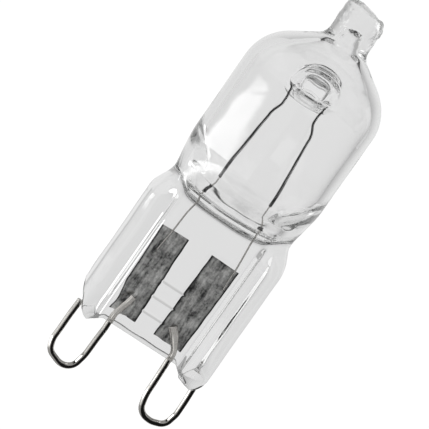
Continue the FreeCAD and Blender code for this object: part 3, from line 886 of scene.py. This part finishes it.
def room_level(tree, direction):
    """Brightness seen in a direction from the lamp, at least 1.02 for the camera's own rays.

    It falls from the sheet's to the room's between 14 and 50 degrees off straight behind. Also returned:
    1 for the rays that show it, which are the camera's own, mirrored ones and those through glass."""
    ray = node(tree, "LightPath").outputs
    ahead = node(tree, "VectorMath", {0: direction, 1: tuple(-to_camera)}, operation="DOT_PRODUCT")
    brightness = node(tree, "MapRange", {
        "Value": ahead.outputs["Value"], "From Min": math.cos(math.radians(50)),
        "From Max": math.cos(math.radians(14)), "To Min": room_beside, "To Max": sheet_behind},
        interpolation_type="SMOOTHSTEP")
    past_lamp = node(tree, "Math", {0: ray["Is Camera Ray"], 1: 1.02}, operation="MULTIPLY")
    brightness = node(tree, "Math", {0: brightness, 1: past_lamp}, operation="MAXIMUM")
    seen = ray["Is Camera Ray"]
    for operation, other in (("ADD", ray["Is Glossy Ray"]), ("ADD", ray["Is Transmission Ray"]),
                             ("MINIMUM", 1.0)):
        seen = node(tree, "Math", {0: seen, 1: other}, operation=operation)
    return brightness, seen


# %% World
world = bpy.data.worlds.new("studio")
scene.world = world
world.use_nodes = True
tree = world.node_tree
tree.nodes.clear()
level_seen, seen = room_level(tree, node(tree, "TexCoord").outputs["Generated"])
room = node(tree, "Background", {"Color": white, "Strength": 0.4})
backdrop = node(tree, "Background", {"Color": white, "Strength": level_seen})
light = node(tree, "MixShader", {0: seen, 1: room, 2: backdrop})
node(tree, "OutputWorld", {"Surface": light})

# %% Softboxes
def softbox(name, degrees, height, distance, width, tall, brightness):
    """A rectangular lamp that faces the bulb; its power is pi x area x brightness."""
    data = bpy.data.lights.new(name, "AREA")
    data.shape, data.size, data.size_y = "RECTANGLE", width * MM, tall * MM
    data.energy = math.pi * width * tall * MM ** 2 * brightness
    turn = math.radians(degrees)
    away = np.array([math.sin(turn), -math.cos(turn), height / distance])
    back = unit(away)
    side = unit(np.cross((0, 0, 1), back))
    lamp = add_at(name, data, side, np.cross(back, side), back, away * distance + (0, 0, lamp_middle))
    lamp.visible_transmission = lamp.visible_camera = False


softbox("upper_left_softbox", -50, 420, 220, 90, 90, 4.0)
softbox("right_strip", 112, 30, 300, 60, 300, 0.9)

# %% Floor
def sheet(name, points, material):
    """A stage surface from a grid of points."""
    piece = new_piece(name, points, grid_quads(*points.shape[:2], closed=False))
    piece.data.materials.append(material)
    return piece


paper, tree = new_material("white_paper_floor")
place = node(tree, "TexCoord").outputs["Object"]
from_lamp = node(tree, "VectorMath", {0: place, 1: (0, 0, lamp_middle * MM)}, operation="SUBTRACT")
from_lamp = node(tree, "VectorMath", {0: from_lamp}, operation="NORMALIZE")
level_seen, seen = room_level(tree, from_lamp)
camera_ray = node(tree, "LightPath").outputs["Is Camera Ray"]
lift = node(tree, "Math", {0: camera_ray, 1: 0.66}, operation="MULTIPLY")
matt = node(tree, "BsdfPrincipled", {"Base Color": colour("#f4f4f4"), "Roughness": 0.9,
                                     "Emission Color": white, "Emission Strength": lift})
mirrored = node(tree, "Emission", {"Color": white, "Strength": level_seen})
through_glass = node(tree, "Math", {0: seen, 1: camera_ray}, operation="SUBTRACT")
lit = node(tree, "MixShader", {0: through_glass, 1: matt, 2: mirrored})
node(tree, "OutputMaterial", {"Surface": lit})
floor_height = -28.0
floor_side = np.linspace(-1500, 1500, 9)
sheet("floor", stacked(floor_side, floor_side[:, None], floor_height), paper)

# %% Cards, seen only in reflections or only through the glass
card_paper, tree = new_material("studio_card")
glow = node(tree, "Attribute", attribute_name="glow").outputs["Fac"]
node(tree, "OutputMaterial", {"Surface": node(tree, "Emission", {"Color": white, "Strength": glow})})


def card(name, points, glow, through=False):
    """A card with a brightness for each point, shown by mirrors or, with `through`, behind the glass."""
    piece = sheet(name, points, card_paper)
    brightness = piece.data.attributes.new("glow", "FLOAT", "POINT")
    brightness.data.foreach_set("value", np.broadcast_to(glow, points.shape[:2]).ravel().astype(np.float32))
    piece.visible_glossy, piece.visible_transmission = not through, through
    piece.visible_camera = piece.visible_diffuse = piece.visible_shadow = piece.visible_volume_scatter = False


def around(turn, reach, z):
    """Points at a turn in degrees from the front, a reach from the axis and a height."""
    return stacked(reach * np.sin(np.radians(turn)), -reach * np.cos(np.radians(turn)), z)


def wall_of_card(low_turn, high_turn, distance, low_z, high_z):
    """Turns and heights of a curved card round the lamp, and its points."""
    turn = np.linspace(low_turn, high_turn, 40)[None, :]
    z = np.linspace(low_z, high_z, 40)[:, None]
    return turn, z, around(turn, distance, z)


def disc_of_card(low_turn, high_turn, near, far, over=0.5):
    """Turns, reaches and points of a sector of a ring that lies just over the floor."""
    turn = np.linspace(high_turn, low_turn, 40)[None, :]
    reach = np.linspace(near, far, 20)[:, None]
    return turn, reach, around(turn, reach, floor_height + over)


glow_turn = -82
card("black_card_right", wall_of_card(-10, 95, 150, -27, 140)[2], 0.01)
card("black_card_below", disc_of_card(-12, 110, 2, 420)[2], 0.01)
turn, z, points = wall_of_card(-130, -40, 140, -27, 40)
reach = 31 - 18 * smooth(z, -5, 6)
card("glow_left", points, 6.0 * (1 - smooth(abs(turn - glow_turn), reach - 9, reach + 4))
     * smooth(z, -20, -17.5) * (1 - smooth(z, 0, 7)))
card("wall_left", wall_of_card(-165, -40, 170, -27, 150)[2], 0.78, through=True)
turn, reach, points = disc_of_card(-125, -40, 30, 135)
card("glow_below_left", points, 1.05 + 6 * (1 - smooth(abs(turn - glow_turn), 22, 36))
     * smooth(reach, 36, 50) * (1 - smooth(reach, 68, 76)))
for name, form, where, brightness in (
        ("glow_front_left", disc_of_card, (-80, -14, 60, 260, 0.7), 1.15),
        ("grey_front_right", disc_of_card, (18, 52, 40, 400, 0.7), 0.35),
        ("grey_right", disc_of_card, (60, 100, 20, 200, 0.7), 0.85),
        ("white_below_behind", disc_of_card, (95, 265, 4, 105, 0.6), 0.81),
        ("black_above_behind", wall_of_card, (140, 220, 400, 260, 1400), 0.03),
        ("window_left", disc_of_card, (202, 216, 50, 190, 0.7), 1.35),
        ("window_right", disc_of_card, (126, 140, 50, 190, 0.7), 0.85)):
    card(name, form(*where)[2], brightness, through=True)

# %% [markdown]
# ## Paths of light
#
# A ray that crosses the bulb passes six or more surfaces, and more where the peg stands behind its
# dents, so it may bend more often than usual before it is given up as black.

# %% Light paths and the last lines
scene.cycles.max_bounces = 48
scene.cycles.transmission_bounces = 40
scene.cycles.glossy_bounces = 40
